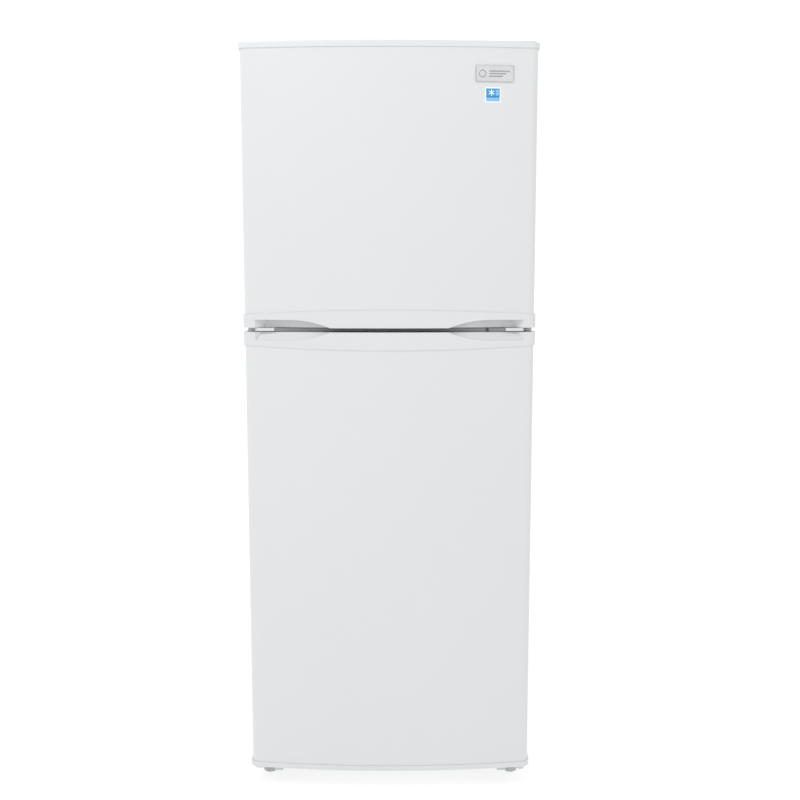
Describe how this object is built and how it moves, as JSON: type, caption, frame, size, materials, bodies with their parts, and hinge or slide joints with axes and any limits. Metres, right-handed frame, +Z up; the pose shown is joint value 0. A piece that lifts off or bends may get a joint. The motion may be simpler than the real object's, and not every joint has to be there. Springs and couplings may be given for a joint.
{
  "type": "top freezer refrigerator",
  "caption": "Upright two-door refrigerator with a freezer compartment on top, bowed doors with finger scoops, shelves, a crisper drawer and a rear cooling circuit.",
  "frame": {"origin": "on the ground under the middle of the whole object", "axes": "+Z up, the doors face -Y, +X towards the hinge side (the right as seen from the front)"},
  "size_m": [0.546, 0.6, 1.43],
  "materials": {
    "white_steel": "gloss white enamel, slightly orange-peeled",
    "white_plastic": "satin moulded white",
    "hinge_enamel": "white enamel over steel",
    "liner_plastic": "smooth formed white sheet",
    "gasket_rubber": "soft matte light grey",
    "zinc_steel": "zinc-plated sheet",
    "black_steel": "black semi-gloss paint",
    "black_plastic": "matte moulded black",
    "grey_plastic": "matte moulded grey",
    "knob_plastic": "satin moulded white",
    "shelf_glass": "clear tempered glass with a green edge",
    "lamp_glass": "frosted",
    "clear_plastic": "clear moulded plastic with a faint blue tint",
    "coated_wire": "white coated wire",
    "copper": "drawn copper",
    "evaporator_aluminium": "bare fins",
    "motor_steel": "bare steel can",
    "black_rubber": "soft matte black",
    "drain_plastic": "flexible milky tube",
    "foam": "pale yellow rigid foam",
    "badge_metal": "silver, satin, with a raised border",
    "label_blue": "blue printed film with a white border"
  },
  "bodies": {
    "cabinet": {"cabinet_shell": "white_steel", "rear_panel": "zinc_steel", "bottom_deck": "zinc_steel", "insulation_foam": "foam", "fridge_liner": "liner_plastic", "freezer_liner": "liner_plastic", "center_rail": "hinge_enamel", "compressor": "black_steel", "compressor_mounts": "black_rubber", "compressor_base": "zinc_steel", "relay_cover": "black_plastic", "condenser": "black_steel", "condenser_brackets": "black_plastic", "filter_drier": "copper", "refrigerant_tubes": "copper", "evaporator": "evaporator_aluminium", "evaporator_cover": "liner_plastic", "fan_motor": "motor_steel", "control_housing": "liner_plastic", "lamp_bulb": "lamp_glass", "light_switch_body": "black_plastic", "glass_shelves": "shelf_glass", "crisper_cover": "shelf_glass", "freezer_shelf": "coated_wire", "top_hinge": "hinge_enamel", "top_hinge_cover": "white_plastic", "middle_hinge": "hinge_enamel", "bottom_hinge": "zinc_steel", "left_foot_bracket": "zinc_steel", "fasteners": "zinc_steel", "hinge_hole_plugs": "white_plastic", "roller_axles": "zinc_steel", "drain_pan": "black_plastic", "drain_tube": "drain_plastic", "cord_gland": "black_plastic"},
    "freezer_door": {"freezer_door_skin": "white_steel", "freezer_door_top_cap": "white_plastic", "freezer_door_bottom_cap": "white_plastic", "freezer_door_liner": "liner_plastic", "freezer_door_gasket": "gasket_rubber", "freezer_door_foam": "foam", "freezer_door_bins": "clear_plastic", "badge_plate": "badge_metal", "energy_label": "label_blue"},
    "fridge_door": {"fridge_door_skin": "white_steel", "fridge_door_top_cap": "white_plastic", "fridge_door_bottom_cap": "white_plastic", "fridge_door_liner": "liner_plastic", "fridge_door_gasket": "gasket_rubber", "fridge_door_foam": "foam", "fridge_door_bins": "clear_plastic", "bottle_bin": "clear_plastic"},
    "crisper_drawer": {"crisper_drawer": "clear_plastic"},
    "evaporator_fan": {"evaporator_fan": "black_plastic"},
    "thermostat_knob": {"thermostat_knob": "knob_plastic"},
    "light_switch_plunger": {"light_switch_plunger": "knob_plastic"},
    "leveling_foot_left": {"leveling_foot_left": "grey_plastic"},
    "leveling_foot_right": {"leveling_foot_right": "grey_plastic"},
    "rear_roller_left": {"rear_roller_left": "black_plastic"},
    "rear_roller_right": {"rear_roller_right": "black_plastic"}
  },
  "joints": [
    {"name": "freezer_door_hinge", "type": "hinge", "parent": "cabinet", "child": "freezer_door", "pos_m": [0.258, -0.255, 1.163], "axis": [0, 0, 1], "range_deg": [0, 120]},
    {"name": "fridge_door_hinge", "type": "hinge", "parent": "cabinet", "child": "fridge_door", "pos_m": [0.258, -0.255, 0.469], "axis": [0, 0, 1], "range_deg": [0, 120]},
    {"name": "crisper_drawer_slide", "type": "slide", "parent": "cabinet", "child": "crisper_drawer", "axis": [0, -1, 0], "range_m": [0, 0.15]},
    {"name": "light_switch_press", "type": "slide", "parent": "cabinet", "child": "light_switch_plunger", "axis": [0, -1, 0], "range_m": [0, 0.004]},
    {"name": "thermostat_turn", "type": "hinge", "parent": "cabinet", "child": "thermostat_knob", "pos_m": [-0.05, -0.14, 0.846], "axis": [0, 1, 0], "range_deg": [0, 270]},
    {"name": "evaporator_fan_spin", "type": "hinge", "parent": "cabinet", "child": "evaporator_fan", "pos_m": [0, 0.2, 1.292], "axis": [0, 1, 0], "continuous": true},
    {"name": "leveling_foot_left_turn", "type": "hinge", "parent": "cabinet", "child": "leveling_foot_left", "pos_m": [-0.244, -0.2, 0.01], "axis": [0, 0, 1], "continuous": true},
    {"name": "leveling_foot_right_turn", "type": "hinge", "parent": "cabinet", "child": "leveling_foot_right", "pos_m": [0.244, -0.2, 0.01], "axis": [0, 0, 1], "continuous": true},
    {"name": "rear_roller_left_spin", "type": "hinge", "parent": "cabinet", "child": "rear_roller_left", "pos_m": [-0.227, 0.236, 0.012], "axis": [1, 0, 0], "continuous": true},
    {"name": "rear_roller_right_spin", "type": "hinge", "parent": "cabinet", "child": "rear_roller_right", "pos_m": [0.227, 0.236, 0.012], "axis": [1, 0, 0], "continuous": true}
  ],
  "couplings": [
    {"joint": "crisper_drawer_slide", "follows": "fridge_door_hinge", "m_per_rad": 0.0716},
    {"joint": "light_switch_press", "follows": "fridge_door_hinge", "m_per_rad": 0.0019}
  ]
}
